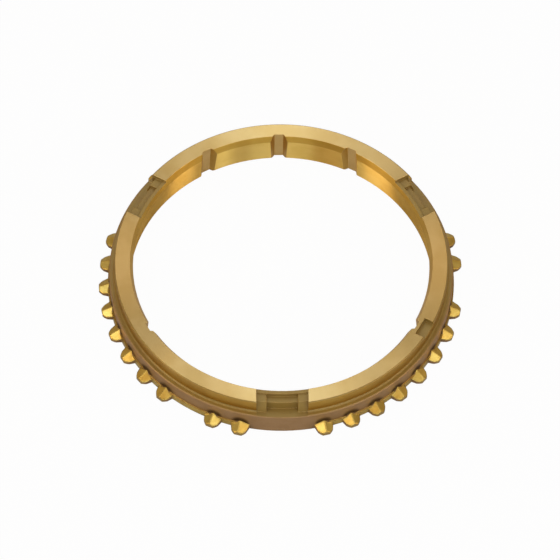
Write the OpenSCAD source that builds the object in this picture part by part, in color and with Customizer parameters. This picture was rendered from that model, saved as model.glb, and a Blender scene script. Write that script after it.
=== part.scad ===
// Brass synchronizer ring of a manual gearbox: one forged and turned piece.
// The ring lies on its gear-side face at z = 0, its axis is Z, and the hub-side face is on top.

/* [Ring] */
// Height from the gear-side face to the hub-side face
ring_h = 9.1; // [8.5:0.05:10.5]
// Diameter of the rim at the hub-side face
rim_d = 72; // [70:0.5:74]
// Radial width of the hub-side face
rim_w = 3.35; // [3:0.05:4]
// Chamfer on the turned edges
edge_break = 0.2; // [0.15:0.05:0.3]

/* [Friction cone] */
// Depth of the steep lead-in between the hub-side face and the cone
lead_in_depth = 1.35; // [0.8:0.05:1.8]
// Radial width of the lead-in
lead_in_w = 0.65; // [0.3:0.05:0.9]
// Half angle of the cone, in degrees
cone_angle = 7; // [5:0.1:8]
// Chamfer at the wide end of the cone
cone_break = 0.4; // [0.2:0.05:0.6]

/* [Flange] */
// Height of the flange that carries the teeth
flange_h = 5.55; // [5:0.05:6.1]
// Radial overhang of the flange beyond the rim, at its shoulder
shoulder_w = 1.2; // [1:0.05:1.6]
// Forging draft of the flange wall, in degrees
flange_draft = 0.5; // [0:0.25:2]
// Height of the machined band at the foot of the toothed sectors
band_h = 2.1; // [1.6:0.1:2.6]
// Radial rise of the band above the flange wall
band_rise = 0.3; // [0.15:0.05:0.5]
// Height of the underside of band and teeth above the gear-side face
tooth_foot = 0.4; // [0.35:0.05:0.6]
// Radius of the fillet between the rim wall and the shoulder
fillet_r = 0.6; // [0.4:0.05:0.8]
// Angle at which the fillet meets the wall and the shoulder, in degrees
fillet_meet = 20; // [15:1:30]

/* [Teeth] */
// Tooth pitches around the ring
pitch_count = 39; // [36:3:42]
// Place of the tooth that is left out in each sector, counted from the slot
missing_tooth = 8; // [2:1:9]
// Height of a tooth above the flange
tooth_h = 2.3; // [2:0.05:2.6]
// Width of a tooth at mid height
tooth_w = 3.4; // [3:0.1:4]
// Angle of the tooth flanks to the tooth's centre line, in degrees
flank_angle = 17; // [12:1:20]
// Width of the flat at the tooth tip
tip_land = 1.5; // [1:0.1:1.8]
// Radius of the arcs that round the corners of the tip
corner_r = 3.4; // [3.2:0.1:3.8]
// Distance of each arc's centre past the tooth's centre line
corner_side = 1.2; // [1:0.1:1.4]
// Rise of the chamfer ridge above the band, at the tooth root
ridge_rise = 0.4; // [0.2:0.05:0.6]
// Slope of the ridge towards the tip, in degrees
ridge_slope = 25; // [15:1:28]
// Slope of the two chamfer facets beside the ridge, in degrees
facet_slope = 23; // [18:1:28]

/* [Key slots] */
// Number of key slots
slot_count = 3; // [3:3:3]
// Angle of the first slot from the X axis, in degrees
slot_angle = 30; // [0:1:60]
// Width of a key slot
slot_w = 11; // [9:0.1:13]
// Depth of the slot's floor below the shoulder
slot_floor = 0.1; // [0.05:0.05:0.1]
// Width of the shelf at each end of a slot
shelf_w = 2.15; // [1:0.05:2.5]
// Depth of the shelves below the hub-side face
shelf_depth = 0.8; // [0.6:0.1:1.2]
// Distance of the shelves' outer edge from the rim wall
shelf_inset = 0.9; // [0.9:0.05:1.15]
// Draft of the shelves' outer walls, in degrees
shelf_draft = 16; // [5:1:17]
// Depth of the step behind the pocket, below the hub-side face
step_depth = 1.45; // [1.3:0.05:2]
// Distance of the step's outer edge from the rim wall
step_inset = 1.3; // [1.25:0.05:1.8]
// Draft of the step's outer wall, in degrees
step_draft = 3; // [1:0.5:5]
// Thickness of the thin web left at the bore
web_w = 0.55; // [0.4:0.05:0.8]
// Drop of the web below the hub-side face
web_drop = 0.45; // [0.2:0.05:0.55]

/* [Oil grooves] */
// Angle of the groove in the middle of the first sector, from the X axis, in degrees
groove_angle = 90.5; // [84:0.5:96]
// Angle from that groove to the two extra ones beside it, in degrees
groove_step = 28.6; // [20:0.2:32]
// Width of a groove at its floor
groove_w = 1.9; // [1.2:0.1:2.6]
// Flare of each groove side, in degrees
groove_flare = 36; // [10:1:40]
// Depth of the groove floor outside the edge of the hub-side face
groove_depth = 0.5; // [0.3:0.05:0.6]
// Slope of the groove floor, in degrees
groove_slope = 4.5; // [1:0.5:5]

/* [Index notch] */
// Angle of the index notch, in degrees
notch_angle = 330.9; // [325:0.1:335]
// Width of the notch
notch_w = 4.4; // [3:0.1:5.5]
// Depth of the notch
notch_depth = 1.1; // [0.5:0.1:1.4]
// Width of the strip of hub-side face left inside the notch
notch_strip_w = 1.2; // [1:0.1:1.6]

/* [Hidden] */
$fn = 96;
brass = "#c2a058";
// Overrun of cutting shapes past the faces they cut, and of added shapes into the body
over = 1;
rim_r = rim_d / 2;
mouth_r = rim_r - rim_w;
throat_r = mouth_r - lead_in_w;
throat_z = ring_h - lead_in_depth;
cone_foot_r = throat_r + (throat_z - cone_break) * tan(cone_angle);
shoulder_r = rim_r + shoulder_w;
flange_r = shoulder_r + flange_h * tan(flange_draft);
band_r = flange_r + band_rise;
tip_radius = flange_r + tooth_h;
fillet_centre = fillet_r * cos(fillet_meet);
pitch = 360 / pitch_count;
sector = 360 / slot_count;
sector_pitches = pitch_count / slot_count;
// The slot's centre lies between two tooth places, and the nearest tooth is one and a half pitches away
first_tooth = 1.5;
tooth_places = sector_pitches - 2 * first_tooth;
pocket_w = slot_w - 2 * shelf_w;
web_r = mouth_r + web_w;

module at_slots() {
    for (i = [0 : slot_count - 1])
        rotate(slot_angle + i * sector) children();
}

// Half of the ring's section, bore side to the left
module ring_section() {
    polygon([
        [cone_foot_r + cone_break, 0],
        [flange_r - edge_break, 0],
        [flange_r, edge_break],
        [shoulder_r, flange_h - edge_break],
        [shoulder_r - edge_break, flange_h],
        [rim_r, flange_h],
        [rim_r, ring_h - edge_break],
        [rim_r - edge_break, ring_h],
        [mouth_r, ring_h],
        [throat_r, throat_z],
        [cone_foot_r, cone_break]
    ]);
}

// Section of the fillet that the turning tool's nose leaves between rim wall and shoulder
module fillet_section() {
    difference() {
        translate([rim_r - over, flange_h - over])
            square(over + fillet_centre);
        translate([rim_r + fillet_centre, flange_h + fillet_centre])
            circle(r = fillet_r);
    }
}

module ring_body() {
    rotate_extrude() {
        ring_section();
        fillet_section();
    }
}

// Band at the foot of one toothed sector, from its first tooth to its last
module root_band() {
    rotate(first_tooth * pitch)
        rotate_extrude(angle = tooth_places * pitch)
            translate([band_r - over, tooth_foot])
                square([over, band_h - tooth_foot]);
}

// Half width of a tooth at the distance x from the ring's axis
function tooth_half_w(x) = tooth_w / 2 - (x - flange_r - tooth_h / 2) * tan(flank_angle);

// Arc through one end of the tip's flat, struck from the far side of the tooth's centre line
module corner_arc(side) {
    reach = tip_land / 2 + corner_side;
    translate([tip_radius - sqrt(corner_r * corner_r - reach * reach), -side * corner_side])
        circle(r = corner_r);
}

// Plan of a tooth: straight flanks and a flat tip, with the two corners between them rounded
module tooth_plan() {
    root_x = flange_r - over;
    intersection() {
        polygon([
            [root_x, -tooth_half_w(root_x)],
            [tip_radius, -tooth_half_w(tip_radius)],
            [tip_radius, tooth_half_w(tip_radius)],
            [root_x, tooth_half_w(root_x)]
        ]);
        corner_arc(1);
        corner_arc(-1);
    }
}

// Roof of a tooth: two facets that meet at a ridge falling towards the tip
module tooth_roof() {
    reach = ring_h;
    eaves = reach * tan(facet_slope);
    translate([band_r, 0, band_h + ridge_rise])
        rotate([0, ridge_slope, 0])
            rotate([90, 0, 90])
                linear_extrude(height = 2 * reach, center = true)
                    polygon([
                        [0, 0],
                        [-reach, -eaves],
                        [-reach, -2 * reach],
                        [reach, -2 * reach],
                        [reach, -eaves]
                    ]);
}

module tooth() {
    intersection() {
        translate([0, 0, tooth_foot])
            linear_extrude(height = ring_h) tooth_plan();
        tooth_roof();
    }
}

module toothed_sector() {
    root_band();
    for (k = [0 : tooth_places])
        if (k != missing_tooth)
            rotate((first_tooth + k) * pitch) tooth();
}

// A cone-sided block standing on the shoulder, for the shelves and the step of a slot
module drafted_block(top_z, top_r, draft) {
    rise = top_z - flange_h + over;
    translate([0, 0, flange_h - over])
        cylinder(h = rise, r1 = top_r + rise * tan(draft), r2 = top_r);
}

module slot_box(width) {
    translate([0, -width / 2, flange_h - slot_floor])
        cube([2 * rim_r, width, ring_h]);
}

// What is removed from the rim at one key slot: all but the web, the two shelves and the step
module key_slot() {
    difference() {
        slot_box(slot_w);
        cylinder(h = ring_h - web_drop, r = web_r);
        difference() {
            drafted_block(ring_h - shelf_depth, rim_r - shelf_inset, shelf_draft);
            slot_box(pocket_w);
        }
        drafted_block(ring_h - step_depth, rim_r - step_inset, step_draft);
    }
}

// Axial oil groove with flared sides
module oil_groove() {
    flare = rim_w * tan(groove_flare);
    floor_half = groove_w / 2;
    translate([mouth_r + groove_depth, 0, ring_h])
        rotate([0, -groove_slope, 0])
            translate([0, 0, -ring_h - over])
                linear_extrude(height = ring_h + 2 * over)
                    polygon([
                        [0, -floor_half],
                        [0, floor_half],
                        [-rim_w, floor_half + flare],
                        [-rim_w, -floor_half - flare]
                    ]);
}

// One groove in the middle of each sector, and one more on either side of the first
module oil_grooves() {
    for (i = [0 : slot_count - 1])
        rotate(groove_angle + i * sector) oil_groove();
    for (side = [-1, 1])
        rotate(groove_angle + side * groove_step) oil_groove();
}

module index_notch() {
    rotate(notch_angle)
        translate([mouth_r + notch_strip_w, -notch_w / 2, ring_h - notch_depth])
            cube([rim_w, notch_w, notch_depth + over]);
}

module synchronizer_ring() {
    color(brass)
        difference() {
            union() {
                ring_body();
                at_slots() toothed_sector();
            }
            at_slots() key_slot();
            oil_grooves();
            index_notch();
        }
}

synchronizer_ring();
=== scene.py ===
# %% [markdown]
# # A brass synchronizer ring
# Inside a manual gearbox, a ring like this one is pressed against the cone of a gear and drags it
# to the same speed before the sleeve slides over its teeth. It is one piece of brass: forged to
# shape, then turned on a lathe, with teeth and slots formed in it. The solid comes from the CAD
# frame, and this lesson gives it its finishes.

# %% Load the frame
import math

import bmesh
import bpy
from mathutils import Matrix, Vector


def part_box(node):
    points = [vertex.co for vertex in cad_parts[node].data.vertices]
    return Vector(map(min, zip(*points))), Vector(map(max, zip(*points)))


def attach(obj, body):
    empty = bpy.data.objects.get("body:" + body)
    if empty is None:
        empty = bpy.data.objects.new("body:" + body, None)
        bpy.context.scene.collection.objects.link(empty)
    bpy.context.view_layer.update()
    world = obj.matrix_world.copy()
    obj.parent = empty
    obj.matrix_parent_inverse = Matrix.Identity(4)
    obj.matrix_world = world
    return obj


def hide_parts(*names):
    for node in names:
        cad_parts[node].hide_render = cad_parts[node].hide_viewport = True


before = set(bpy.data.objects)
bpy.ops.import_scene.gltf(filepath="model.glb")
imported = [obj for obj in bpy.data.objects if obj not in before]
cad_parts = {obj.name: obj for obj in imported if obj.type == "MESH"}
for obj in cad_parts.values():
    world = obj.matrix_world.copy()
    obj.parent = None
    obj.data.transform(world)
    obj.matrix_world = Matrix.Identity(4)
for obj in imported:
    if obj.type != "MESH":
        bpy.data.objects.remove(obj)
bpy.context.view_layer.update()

MM = 0.001


ring_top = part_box("synchronizer_ring")[1].z

# %% [markdown]
# ## The camera
# A small part is photographed with a long lens from about a metre away, so that its far side looks
# hardly smaller than its near side. The tilt follows from the hub-side face: a circle seen from 57
# degrees above the horizon is an ellipse 0.84 times as high as it is wide. The camera's place is
# built from three directions, to the right, up, and back towards the lens. Those are the columns of
# its matrix, so no constraint or target object is needed.

# %% Camera at the photograph's angle
RIM_R = 36
TILT, TURN, ROLL = math.radians(57.39), math.radians(-1.12), math.radians(0.88)
DISTANCE = 918 * MM
PICTURE_W = 560
PIXELS_PER_RIM = 166.91
PIXELS_RIGHT, PIXELS_UP = 1.28, 18.90
SENSOR_W = 36

pixel = RIM_R * MM / PIXELS_PER_RIM
back = Vector((math.sin(TURN) * math.cos(TILT), -math.cos(TURN) * math.cos(TILT), math.sin(TILT)))
level = Vector((math.cos(TURN), math.sin(TURN), 0))
above = back.cross(level)
right = math.cos(ROLL) * level + math.sin(ROLL) * above
up = math.cos(ROLL) * above - math.sin(ROLL) * level

lens = bpy.data.cameras.new("photo_camera")
lens.sensor_fit = "HORIZONTAL"
lens.sensor_width = SENSOR_W
lens.lens = DISTANCE / pixel * SENSOR_W / PICTURE_W
camera = bpy.data.objects.new("photo_camera", lens)
place = Vector((0, 0, ring_top)) + DISTANCE * back - pixel * (PIXELS_RIGHT * right + PIXELS_UP * up)
directions = Matrix((right, up, back)).transposed().to_4x4()
camera.matrix_world = Matrix.Translation(place) @ directions
bpy.context.scene.collection.objects.link(camera)
bpy.context.scene.camera = camera
print("lens of", round(lens.lens), "mm at", round(DISTANCE / MM), "mm")

# %% [markdown]
# ## Shader maths
# A material is a tree of nodes, and a formula with ten nodes is hard to read as ten calls. A small
# class wraps one output socket and gives it plus, minus, times and divide, so that a line such as
# 1 - mask adds its Math node by itself. One more method makes any other node: its settings come
# first, because some of them decide which sockets the node has, and then the values or links of its
# sockets.

# %% One class for sockets
class Wire:
    def __init__(self, tree, socket=None):
        self.tree = tree
        self.socket = socket

    def make(self, kind, settings=None, values=None, out=0):
        node = self.tree.nodes.new(kind)
        for name, value in (settings or {}).items():
            setattr(node, name, value)
        for name, value in (values or {}).items():
            if isinstance(value, Wire):
                self.tree.links.new(value.socket, node.inputs[name])
            else:
                node.inputs[name].default_value = value
        return Wire(self.tree, node.outputs[out])

    def maths(self, operation, *terms):
        return self.make("ShaderNodeMath", {"operation": operation}, dict(enumerate(terms)))

    def __add__(self, other):
        return self.maths("ADD", self, other)

    def __radd__(self, other):
        return self.maths("ADD", other, self)

    def __sub__(self, other):
        return self.maths("SUBTRACT", self, other)

    def __rsub__(self, other):
        return self.maths("SUBTRACT", other, self)

    def __mul__(self, other):
        return self.maths("MULTIPLY", self, other)

    def __rmul__(self, other):
        return self.maths("MULTIPLY", other, self)

    def __truediv__(self, other):
        return self.maths("DIVIDE", self, other)

    def __rtruediv__(self, other):
        return self.maths("DIVIDE", other, self)

    def vector(self, operation, *terms, out=0):
        settings = {"operation": operation}
        return self.make("ShaderNodeVectorMath", settings, dict(enumerate(terms)), out)

    def split(self):
        """The x, y and z of a vector."""
        node = self.make("ShaderNodeSeparateXYZ", None, {0: self}).socket.node
        return [Wire(self.tree, output) for output in node.outputs]

    def step(self, low, high):
        """0 below low, 1 above high, and a soft ramp between them."""
        values = {"Value": self, "From Min": low, "From Max": high}
        return self.make("ShaderNodeMapRange", {"interpolation_type": "SMOOTHSTEP"}, values)

    def blend(self, first, second):
        """The first colour where this mask is 0, and the second where it is 1."""
        values = {0: self, 6: first, 7: second}
        return self.make("ShaderNodeMix", {"data_type": "RGBA"}, values, out=2)


def colour(red, green, blue):
    """A colour as a picture editor shows it, 0 to 255, turned into the light that shaders use."""
    parts = [value / 255 for value in (red, green, blue)]
    return tuple(v / 12.92 if v <= 0.04045 else ((v + 0.055) / 1.055) ** 2.4 for v in parts) + (1,)


# %% [markdown]
# ## What every brass finish shares
# All the finishes are the same metal, so each one starts from the same measures. Object coordinates
# give the place on the ring in metres. From them come the height and the distance from the axis,
# which is what a lathe knows too. Two masks follow the form: edges, found by comparing the true
# normal with one that is rounded over a fraction of a millimetre, and corners, found by how much of
# the surroundings a point sees. The corner mask darkens the colour there as painted shade.

# %% Measures on the ring
def new_tree(name):
    """A material without nodes, and a wire to make them with."""
    material = bpy.data.materials.new(name)
    material.use_nodes = True
    material.node_tree.nodes.clear()
    return material, Wire(material.node_tree)


def start_finish(name):
    material, wire = new_tree(name)
    place = wire.make("ShaderNodeTexCoord", out=3)
    in_mm = wire.make("ShaderNodeVectorMath", {"operation": "SCALE"}, {0: place, 3: 1 / MM})
    x, y, z = in_mm.split()
    radius = wire.maths("SQRT", x * x + y * y)
    return material, wire, in_mm, radius, z


# %% Masks and marks
# The edge mask lightens edges in most finishes, partly as wear and partly as painted highlight, and
# darkens the edges of the teeth as painted shade.
def edge_mask_and_rounding(wire, width, blunt=0.004, sharp=0.12):
    """A mask of the edges, and the rounded normal. Edges under the blunt limit are left out."""
    soft = wire.make("ShaderNodeBevel", {"samples": 6}, {"Radius": width * MM})
    true = wire.make("ShaderNodeNewGeometry", out=1)
    likeness = wire.vector("DOT_PRODUCT", soft, true, out=1)
    return (1 - likeness).step(blunt, sharp), soft


# Painted shade: darkens corners by how much of their surroundings they see.
def shaded_corners(wire, reach, dark, unshaded):
    """A mask for painted shade: 1 where a point sees less of its surroundings than the first limit,
    0 where it sees more than the second.
    """
    settings = {"samples": 8, "only_local": True}
    seen = wire.make("ShaderNodeAmbientOcclusion", settings, {"Distance": reach * MM}, out=1)
    return 1 - seen.step(dark, unshaded)


def cloud_of(wire, in_mm, scale, detail):
    values = {"Vector": in_mm, "Scale": scale, "Detail": detail}
    return wire.make("ShaderNodeTexNoise", None, values)


def lines_of(wire, along, detail):
    """Noise along one measure only, as a tool leaves it."""
    values = {"W": along, "Detail": detail}
    return wire.make("ShaderNodeTexNoise", {"noise_dimensions": "1D"}, values)


def bumpy(wire, marks, soft, strength, depth):
    """The rounded normal with marks in it, at most that many millimetres deep."""
    values = {"Strength": strength, "Distance": depth * MM, "Height": marks, "Normal": soft}
    return wire.make("ShaderNodeBump", None, values)


# %% Shader at the end of a finish
def show(wire, shader):
    output = wire.tree.nodes.new("ShaderNodeOutputMaterial")
    wire.tree.links.new(shader.socket, output.inputs["Surface"])


def close_finish(material, wire, base, roughness, normal, **others):
    values = {"Base Color": base, "Roughness": roughness, "Normal": normal}
    for name, value in others.items():
        values[name.replace("_", " ").title()] = value
    show(wire, wire.make("ShaderNodeBsdfPrincipled", None, values))
    print("finish", material.name, "with", len(wire.tree.nodes), "nodes")
    return material


# %% [markdown]
# ## Turned brass
# The hub-side face, the rim wall and the steep lead-in of the bore were cut on a lathe. The tool
# leaves rings a few hundredths of a millimetre deep that follow the turning. A one-dimensional
# noise over the distance from the axis and the height draws such rings without a seam. They also
# stretch every reflection across the rings, so that a turned face shows fans of light. The shader's
# anisotropy does that: its own direction runs around the Z axis, and a quarter turn sets the
# stretch across it. The wall shows less of that stretch than the face. The oil grooves were cut as
# smoothly, so their floors get the face's finish, and their sides the wall's.

# %% Turned finish
QUARTER_TURN = 0.25
RINGS_OUT, RINGS_UP = 5, 7


def turned_finish(name, deep, pale, smooth, stretch):
    ring_line, shade_brown, wear_and_highlight = colour(200, 160, 84), colour(140, 98, 36), colour(236, 206, 134)
    material, wire, in_mm, radius, z = start_finish(name)
    rings = lines_of(wire, radius * RINGS_OUT + z * RINGS_UP, detail=3.0)
    cloud = cloud_of(wire, in_mm, scale=0.16, detail=3.0)
    edge, soft = edge_mask_and_rounding(wire, width=0.16)
    corner_shade = shaded_corners(wire, reach=1.2, dark=0.2, unshaded=0.8)
    tone = cloud.step(0.35, 0.65).blend(deep, pale)
    tone = (rings.step(0.4, 0.7) * 0.25).blend(tone, ring_line)
    # Painted shade: corners that see little of their surroundings darken towards a brown.
    tone = (corner_shade * 0.5).blend(tone, shade_brown)
    # Edges lighten, partly as wear and partly as painted highlight.
    tone = (edge * 0.35).blend(tone, wear_and_highlight)
    rough = smooth + rings * 0.08 + corner_shade * 0.1
    normal = bumpy(wire, rings, soft, strength=0.1, depth=0.02)
    extra = {"metallic": 1.0, "anisotropic": stretch, "anisotropic_rotation": QUARTER_TURN}
    return close_finish(material, wire, tone, rough, normal, **extra)


# The face's colours are paler and whiter than the wall's: painted sheen on the same turned brass.
turned_face = turned_finish(
    "turned_face_brass",
    deep=colour(206, 174, 108), pale=colour(214, 184, 120), smooth=0.3, stretch=1.0,
)
turned_wall = turned_finish(
    "turned_wall_brass",
    deep=colour(192, 154, 66), pale=colour(202, 166, 76), smooth=0.28, stretch=0.3,
)

# %% [markdown]
# ## The friction cone
# The cone inside the ring carries a very fine thread that cuts through the oil film. It is too fine
# to see turn by turn, but it spreads every reflection up and down the wall, so the cone shows
# upright bands of light and dark. A bump as fine as that would only flicker from pixel to pixel, so
# the spread comes from strong anisotropy instead. Seen from above, a thread shows the flanks that
# face up, and adding a little of the Z direction to the normal tilts it as they lie. A sine wave
# over the height paints the thread's roots a little darker, as faint painted shade for a close
# view.

# %% Cone finish
THREAD_PITCH = 0.3
FLANK_TILT = (0, 0, 0.55)


def cone_finish():
    deep, pale = colour(220, 184, 94), colour(230, 196, 106)
    thread_shade, wear_and_highlight = colour(190, 146, 66), colour(240, 212, 140)
    material, wire, in_mm, _, z = start_finish("threaded_cone_brass")
    thread = wire.maths("SINE", z * (2 * math.pi / THREAD_PITCH))
    cloud = cloud_of(wire, in_mm, scale=0.2, detail=3.0)
    edge, soft = edge_mask_and_rounding(wire, width=0.16)
    tone = cloud.step(0.35, 0.65).blend(deep, pale)
    # Painted shade in the thread's roots.
    tone = (thread.step(-1.0, 1.0) * 0.15).blend(tone, thread_shade)
    # Edges lighten, partly as wear and partly as painted highlight.
    tone = (edge * 0.3).blend(tone, wear_and_highlight)
    rough = 0.36 + cloud * 0.04
    normal = wire.vector("NORMALIZE", wire.vector("ADD", soft, FLANK_TILT))
    extra = {"metallic": 1.0, "anisotropic": 1.0, "anisotropic_rotation": QUARTER_TURN}
    return close_finish(material, wire, tone, rough, normal, **extra)


threaded_cone = cone_finish()

# %% [markdown]
# ## As forged
# The flange wall, its shoulder up to the rim, the flanks of the teeth and the insides of key slots
# and notch are as dull as they came from the forge: brown to olive with oxide, and a little grainy
# from the die. The edge around the hub-side face, which was only broken by a brush, looks the same.
# A coarse cloud changes the tone, a fine noise gives the grain, and a higher roughness keeps
# reflections wide. The slots and the tips of the teeth are more olive than the flange.
#
# The wall just over each tooth gets painted shade. The angle around the ring, counted in tooth
# pitches from the middle of a key slot, tells where a tooth stands: at one and a half, two and a
# half, and so on up to eleven and a half, but not at nine and a half, where one is left out. Each
# spot of painted shade is a soft half round, and the cloud makes its edge uneven.

# %% Painted shade on the flange wall over each tooth
TOOTH_PITCHES = 39
PITCH = 6.0
SECTOR = math.radians(120)
FIRST_SLOT = math.radians(30)
TOOTH_ROOT_Z = 2.2
SHADE_HALF_W = 2.0
SHADE_H = 2.0
WALL_END = (37.3, 37.4)


def between(measure, low, high, soft=0.1):
    """1 from low to high, with soft ends."""
    begun = measure.step(low - soft, low + soft)
    return begun * (1 - measure.step(high - soft, high + soft))


# Painted shade: a dark patch on the flange wall over each tooth.
def shade_over_teeth(wire, in_mm, radius, z, cloud):
    x, y, _ = in_mm.split()
    turn = wire.maths("FLOORED_MODULO", wire.maths("ARCTAN2", y, x) - FIRST_SLOT, SECTOR)
    pitches = turn * (TOOTH_PITCHES / (2 * math.pi))
    across = (wire.maths("FRACT", pitches) - 0.5) * (PITCH / SHADE_HALF_W)
    height = (z - TOOTH_ROOT_Z) / SHADE_H
    spread = across * across + height * height + (cloud - 0.5) * 0.9
    has_tooth = between(pitches, 1, 12) * (1 - between(pitches, 9, 10))
    on_wall = 1 - radius.step(*WALL_END)
    return (1 - spread.step(0.1, 1.2)) * has_tooth * on_wall


# %% Forged finish
FLANGE_START, FLANGE_END = (36.9, 37.15), (38.9, 39.3)


def forged_finish():
    olive, brown, oxide = colour(150, 125, 60), colour(162, 130, 88), colour(140, 108, 60)
    shade_brown, wear_and_highlight = colour(66, 44, 14), colour(196, 160, 92)
    material, wire, in_mm, radius, z = start_finish("forged_brass")
    cloud = cloud_of(wire, in_mm, scale=0.35, detail=4.0)
    grain = cloud_of(wire, in_mm, scale=4.0, detail=3.0)
    edge, soft = edge_mask_and_rounding(wire, width=0.2)
    corner_shade = shaded_corners(wire, reach=3.5, dark=0.82, unshaded=0.98)
    flange = radius.step(*FLANGE_START) * (1 - radius.step(*FLANGE_END))
    tooth_shade = shade_over_teeth(wire, in_mm, radius, z, cloud)
    tone = flange.blend(olive, brown)
    tone = (cloud.step(0.4, 0.7) * 0.3).blend(tone, oxide)
    # Painted shade: corners that see little of their surroundings, and the wall just over each
    # tooth, darken towards a dark brown.
    tone = (corner_shade * (0.1 + flange * 0.2) + tooth_shade * flange * 0.9).blend(tone, shade_brown)
    # Edges lighten, partly as wear and partly as painted highlight.
    tone = (edge * 0.4).blend(tone, wear_and_highlight)
    rough = 0.36 + grain * 0.1 + flange * 0.1 - edge * 0.1
    normal = bumpy(wire, grain, soft, strength=0.2, depth=0.05)
    return close_finish(material, wire, tone, rough, normal, metallic=0.35 + flange * 0.3)


forged = forged_finish()

# %% [markdown]
# ## Cut teeth
# The roof facets of the teeth and the band at their foot were cut with a milling tool. They are
# brighter than the forged skin, with fine straight tool lines. Their edges are painted dark, as
# shade along the rounded edges, and their corners get painted shade too. The ridge between two
# facets is blunter than those edges, so a limit on the mask leaves it out.

# %% Cut finish
LINES_OUT, LINES_UP = 4, 9


def cut_finish():
    deep, pale = colour(192, 162, 80), colour(206, 180, 94)
    shade_brown, edge_shade = colour(110, 72, 24), colour(124, 88, 52)
    material, wire, in_mm, radius, z = start_finish("cut_brass")
    lines = lines_of(wire, z * LINES_UP + radius * LINES_OUT, detail=2.0)
    cloud = cloud_of(wire, in_mm, scale=0.5, detail=3.0)
    edge, soft = edge_mask_and_rounding(wire, width=0.45, blunt=0.08, sharp=0.22)
    corner_shade = shaded_corners(wire, reach=1.4, dark=0.3, unshaded=0.95)
    tone = cloud.step(0.35, 0.65).blend(deep, pale)
    # Painted shade: corners that see little of their surroundings darken towards a dark brown.
    tone = (corner_shade * 0.6).blend(tone, shade_brown)
    # Painted shade along the rounded edges of the teeth.
    tone = (edge * 0.75).blend(tone, edge_shade)
    rough = 0.26 + lines * 0.1 + corner_shade * 0.15
    normal = bumpy(wire, lines, soft, strength=0.12, depth=0.03)
    return close_finish(material, wire, tone, rough, normal, metallic=1.0)


cut = cut_finish()

# %% [markdown]
# ## The ring
# The CAD mesh is right in shape, but it comes as loose triangles that share no corners, one set for
# each face. So a copy is made and its double corners are merged. Each triangle then gets the finish
# that its place asks for. A face is known by its distance from the axis, its height, and how much
# it looks outwards or up. Slots, grooves and the notch are known by their angle, with a helper that
# measures along and across a direction.

# %% Places on the ring, in millimetres
FINISHES = (turned_face, turned_wall, threaded_cone, forged, cut)
FACE, WALL, CONE, FORGED, CUT = range(len(FINISHES))
TOP_Z = ring_top / MM
NEAR = 0.02


def beside(spot, degrees):
    """Distance along and across the direction at that angle."""
    angle = math.radians(degrees)
    along = spot.x * math.cos(angle) + spot.y * math.sin(angle)
    across = spot.y * math.cos(angle) - spot.x * math.sin(angle)
    return along, abs(across)


print(len(FINISHES), "finishes for a ring", round(TOP_Z, 2), "mm high")

# %% Finish of the bore
MOUTH_R = 32.65
THROAT_R = 32
THROAT_Z = TOP_Z - 1.35
CONE_ANGLE = math.radians(7)
GROOVE_ANGLES = (61.9, 90.5, 119.1, 210.5, 330.5)
GROOVE_HALF_W = 2.4
GROOVE_FLOOR_HALF_W = 0.95
GROOVE_OUTER_R = 34
GROOVE_CLEAR = 0.2
GROOVE_SIDE = -0.75
LOOKS_IN, LOOKS_OUT = -0.5, 0.5
SLOPED = 0.6
LEAD_IN_UP = 0.3


def bore_finish(spot, radius, outward, upward):
    """The cone, the lead-in above it and the oil grooves, which all look inwards."""
    if outward > LOOKS_IN or radius > GROOVE_OUTER_R or abs(upward) > SLOPED:
        return None
    cone_r = THROAT_R + (THROAT_Z - spot.z) * math.tan(CONE_ANGLE)
    sunk = outward > GROOVE_SIDE or radius > max(cone_r, MOUTH_R) + GROOVE_CLEAR
    for angle in GROOVE_ANGLES:
        along, across = beside(spot, angle)
        if sunk and along > 0 and across < GROOVE_HALF_W:
            return FACE if across < GROOVE_FLOOR_HALF_W else WALL
    return WALL if upward > LEAD_IN_UP else CONE


# %% Finish of the key slots and the notch
SLOT_ANGLES = (30, 150, 270)
SLOT_HALF_W = 5.5
SLOT_FLOOR_Z = 5.45
NOTCH_ANGLE = 330.9
NOTCH_HALF_W = 2.2
NOTCH_INNER_R, NOTCH_OUTER_R = 33.85, 35.7
NOTCH_FLOOR_Z = 8.0


def pocket_finish(spot, radius):
    """The key slots, out to the edge of the flange, and the index notch."""
    if spot.z > TOP_Z - NEAR:
        return None
    for angle in SLOT_ANGLES:
        along, across = beside(spot, angle)
        if along > 0 and across < SLOT_HALF_W + NEAR and spot.z > SLOT_FLOOR_Z - NEAR:
            return FORGED
    along, across = beside(spot, NOTCH_ANGLE)
    within = along > NOTCH_INNER_R - NEAR and radius < NOTCH_OUTER_R
    if within and across < NOTCH_HALF_W + NEAR and spot.z > NOTCH_FLOOR_Z - NEAR:
        return FORGED
    return None


# %% Finish of each face
SHOULDER_Z = 5.55
FILLET_TOP_Z = 6.2
FILLET_UP = 0.2
FLANGE_R = 37
BAND_R = 37.4
BAND_TOP_Z = 2.1
TIP_R = 38.5
UPRIGHT = 0.5
LEVEL = 0.9
ROUND_WALL = 0.98


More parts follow.
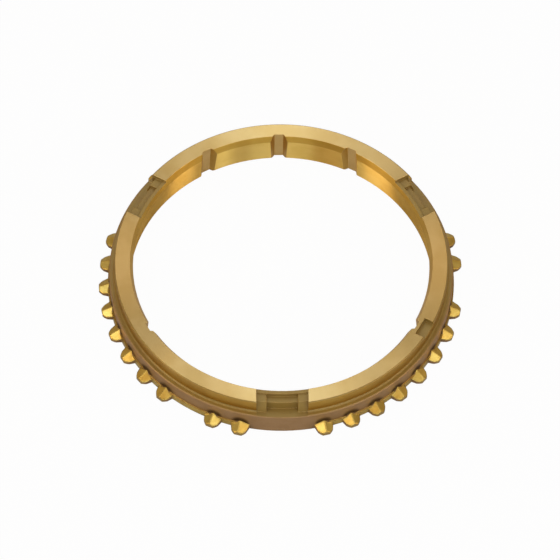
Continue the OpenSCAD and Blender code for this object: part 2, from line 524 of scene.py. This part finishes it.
def finish_of(face):
    spot = face.calc_center_median() / MM
    radius = math.hypot(spot.x, spot.y)
    outward = (face.normal.x * spot.x + face.normal.y * spot.y) / radius
    upward = face.normal.z
    special = bore_finish(spot, radius, outward, upward)
    if special is None:
        special = pocket_finish(spot, radius)
    if special is not None:
        return special
    tooth_wall = abs(upward) < UPRIGHT and (outward < ROUND_WALL or radius > TIP_R)
    if radius > BAND_R:
        return FORGED if tooth_wall else CUT
    if radius > FLANGE_R and upward > LEVEL and spot.z < BAND_TOP_Z + NEAR:
        return CUT
    flange_wall = radius > FLANGE_R and outward > LOOKS_OUT
    fillet_height = SHOULDER_Z - NEAR < spot.z < FILLET_TOP_Z
    shoulder = upward > FILLET_UP and outward > -NEAR and fillet_height
    broken_edge = SLOPED < upward < LEVEL and outward > 0
    if flange_wall or shoulder or broken_edge:
        return FORGED
    return FACE if abs(upward) > SLOPED else WALL


# %% [markdown]
# ## Dressing the mesh
# Edges that bend by more than 15 degrees stay sharp, and the rest is shaded smooth, so that the
# facets of the round walls disappear. The CAD mesh itself is left alone: all of this happens to a
# copy.

# %% Merge, dress and shade
SHARP = math.radians(15)
SAME_PLACE = 0.001 * MM

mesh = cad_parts["synchronizer_ring"].data.copy()
mesh.name = "brass_ring"
mesh.materials.clear()
for finish in FINISHES:
    mesh.materials.append(finish)

work = bmesh.new()
work.from_mesh(mesh)
bmesh.ops.remove_doubles(work, verts=work.verts, dist=SAME_PLACE)
open_edges = sum(1 for edge in work.edges if not edge.is_manifold)
for face in work.faces:
    face.normal_update()
    face.material_index = finish_of(face)
    face.smooth = True
for edge in work.edges:
    edge.smooth = len(edge.link_faces) == 2 and edge.calc_face_angle() < SHARP
work.to_mesh(mesh)
work.free()
print("ring with", len(mesh.polygons), "faces,", open_edges, "open edges")

# %% [markdown]
# ## Exact normals
# Smooth shading averages the normals of the faces around a corner. Around a slot or a groove those
# faces are long slivers, and the average drifts a little, which draws dashes into a bright
# reflection. What the lathe cut needs no average: at each corner its normal lies in the plane
# through the axis, and on the fillet it points to the centre of the tool's nose. So those normals
# are calculated and stored, and a zero vector leaves every other corner as it is.

# %% Exact normals on what the lathe cut
FILLET_R = 0.6
FILLET_MEET = math.radians(20)
FILLET_CENTRE_R = RIM_R + FILLET_R * math.cos(FILLET_MEET)
FILLET_CENTRE_Z = SHOULDER_Z + FILLET_R * math.cos(FILLET_MEET)
SIDEWAYS_LIMIT = 0.03


def lathe_normal(spot, face_normal, centre):
    """The normal of a turned surface at a corner, or nothing where the face isn't turned."""
    reach = math.hypot(centre.x, centre.y)
    outward = (face_normal.x * centre.x + face_normal.y * centre.y) / reach
    sideways = (face_normal.y * centre.x - face_normal.x * centre.y) / reach
    if abs(sideways) > SIDEWAYS_LIMIT:
        return Vector((0, 0, 0))
    radius = math.hypot(spot.x, spot.y)
    upward = face_normal.z
    fillet_height = SHOULDER_Z + NEAR < centre.z < FILLET_CENTRE_Z
    if fillet_height and RIM_R < reach < FILLET_CENTRE_R:
        outward = (FILLET_CENTRE_R - radius) / FILLET_R
        upward = (FILLET_CENTRE_Z - spot.z) / FILLET_R
    return Vector((outward * spot.x / radius, outward * spot.y / radius, upward)).normalized()


corner_normals = []
for polygon in mesh.polygons:
    for index in polygon.vertices:
        corner = mesh.vertices[index].co / MM
        corner_normals.append(lathe_normal(corner, polygon.normal, polygon.center / MM))
mesh.normals_split_custom_set(corner_normals)
turned = sum(1 for normal in corner_normals if normal.length > 0)
print("exact normals at", turned, "of", len(corner_normals), "corners")

# %% [markdown]
# ## The ring in its place
# The dressed copy takes the place of the CAD node, and rides on the ring's only body. It stays at
# the origin, unturned and unscaled, so it lies exactly where the solid lies.

# %% Put the ring in place of the CAD node
ring = bpy.data.objects.new("brass_ring", mesh)
bpy.context.scene.collection.objects.link(ring)
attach(ring, "root")
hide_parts("synchronizer_ring")
print(ring.name, "wears", len(mesh.materials), "finishes")

# %% [markdown]
# ## The floor
# The ring lies on white paper that runs out of the picture. The paper glows for the camera, and a
# little in reflections, so that it reads as white without more light on the brass. It keeps a trace
# of the ring's soft shadow. The paper itself is a pale grey, so that it throws less light back on
# the walls of the ring.

# %% White paper floor
PAPER_HALF = 2.0
PAPER_GAP = 0.02 * MM
PAPER_GREY = (0.6, 0.6, 0.6, 1)
PAPER_GLOW = 0.97
PAPER_SHEEN = 0.1
WHITE = (1, 1, 1, 1)


def paper_finish():
    material, wire = new_tree("white_paper")
    grey = wire.make("ShaderNodeBsdfDiffuse", None, {"Color": PAPER_GREY})
    glow = wire.make("ShaderNodeEmission", None, {"Color": WHITE, "Strength": 1.0})
    camera_ray, glossy_ray, clear_ray = [
        wire.make("ShaderNodeLightPath", out=name)
        for name in ("Is Camera Ray", "Is Glossy Ray", "Is Transmission Ray")
    ]
    share = camera_ray * PAPER_GLOW + glossy_ray * PAPER_SHEEN + clear_ray * PAPER_GLOW
    show(wire, wire.make("ShaderNodeMixShader", None, {0: share, 1: grey, 2: glow}))
    return material


paper = bmesh.new()
bmesh.ops.create_grid(paper, x_segments=1, y_segments=1, size=PAPER_HALF)
bmesh.ops.translate(paper, verts=paper.verts, vec=(0, 0, -PAPER_GAP))
sheet = bpy.data.meshes.new("paper_floor")
paper.to_mesh(sheet)
paper.free()
sheet.materials.append(paper_finish())
floor = bpy.data.objects.new("paper_floor", sheet)
bpy.context.scene.collection.objects.link(floor)
print("paper floor of", 2 * PAPER_HALF, "m")

# %% [markdown]
# ## Soft boxes
# Polished metal shows what stands around it. A long soft box hangs over the ring from front to
# back. It fills the fans of light on the near and far parts of the turned face, and two weak warm
# boxes behind the ring fill the parts between them. Four low boxes draw the upright bands in the
# cone: a warm one on each side, and two cool ones in front. Six high boxes around the front are
# there for the roofs of the teeth, where each facet picks out the box it faces.

# %% Soft boxes
COOL = (0.9, 1.05, 1.32)
WARM = (1.0, 0.74, 0.5)
LAMP_DISTANCE = 0.7


def soft_box(name, azimuth, elevation, width, height, brightness, tint):
    """A rectangular lamp that looks at the ring. Azimuth 0 is behind the ring for the camera."""
    turn, tilt = math.radians(azimuth), math.radians(elevation)
    flat = math.cos(tilt)
    towards = Vector((math.sin(turn) * flat, math.cos(turn) * flat, math.sin(tilt)))
    lamp = bpy.data.lights.new(name, "AREA")
    lamp.shape = "RECTANGLE"
    lamp.size, lamp.size_y = width, height
    lamp.energy = brightness * math.pi * width * height
    lamp.color = tint
    holder = bpy.data.objects.new(name, lamp)
    holder.location = LAMP_DISTANCE * towards
    holder.rotation_euler = towards.to_track_quat("Z", "Y").to_euler()
    bpy.context.scene.collection.objects.link(holder)
    print(name, "gives", round(lamp.energy, 2), "W")


# Name, azimuth and elevation in degrees, width and height in metres, brightness, tint
SOFT_BOXES = (
    ("top_soft_box", 0, 65, 0.15, 1.0, 1.7, COOL),
    ("left_back_soft_box", -50, 36, 0.35, 0.5, 0.55, WARM),
    ("right_back_soft_box", 50, 36, 0.35, 0.5, 0.55, WARM),
    ("left_soft_box", -116, 15, 0.24, 0.34, 3.8, WARM),
    ("right_soft_box", 115, 15, 0.2, 0.34, 3.2, WARM),
    ("left_high_soft_box", -117, 47, 0.26, 0.26, 2.5, COOL),
    ("left_warm_soft_box", -143, 51, 0.22, 0.26, 2.0, WARM),
    ("right_side_soft_box", 110, 46, 0.16, 0.26, 1.7, COOL),
    ("right_high_soft_box", 147, 52, 0.14, 0.24, 2.4, COOL),
    ("right_warm_soft_box", 131, 50, 0.16, 0.24, 1.7, WARM),
    ("front_high_soft_box", 180, 57, 0.16, 0.14, 1.6, WARM),
    ("right_front_soft_box", 143, 14, 0.13, 0.3, 3.2, COOL),
    ("front_soft_box", 180, 16, 0.47, 0.22, 2.5, COOL),
)
for row in SOFT_BOXES:
    soft_box(*row)

# %% [markdown]
# ## The room
# What the soft boxes leave dark is a pale, slightly warm studio room. Its even light fills the
# shadows, and the view settings stay plain, so that a colour renders about as it is written.

# %% Pale room
ROOM_TINT = (1.0, 0.8, 0.57, 1)
ROOM_LIGHT = 0.38

world = bpy.data.worlds.new("pale_room")
world.use_nodes = True
room = world.node_tree.nodes["Background"]
room.inputs["Color"].default_value = ROOM_TINT
room.inputs["Strength"].default_value = ROOM_LIGHT
bpy.context.scene.world = world
bpy.context.scene.view_settings.view_transform = "Standard"
print("room light of", ROOM_LIGHT)
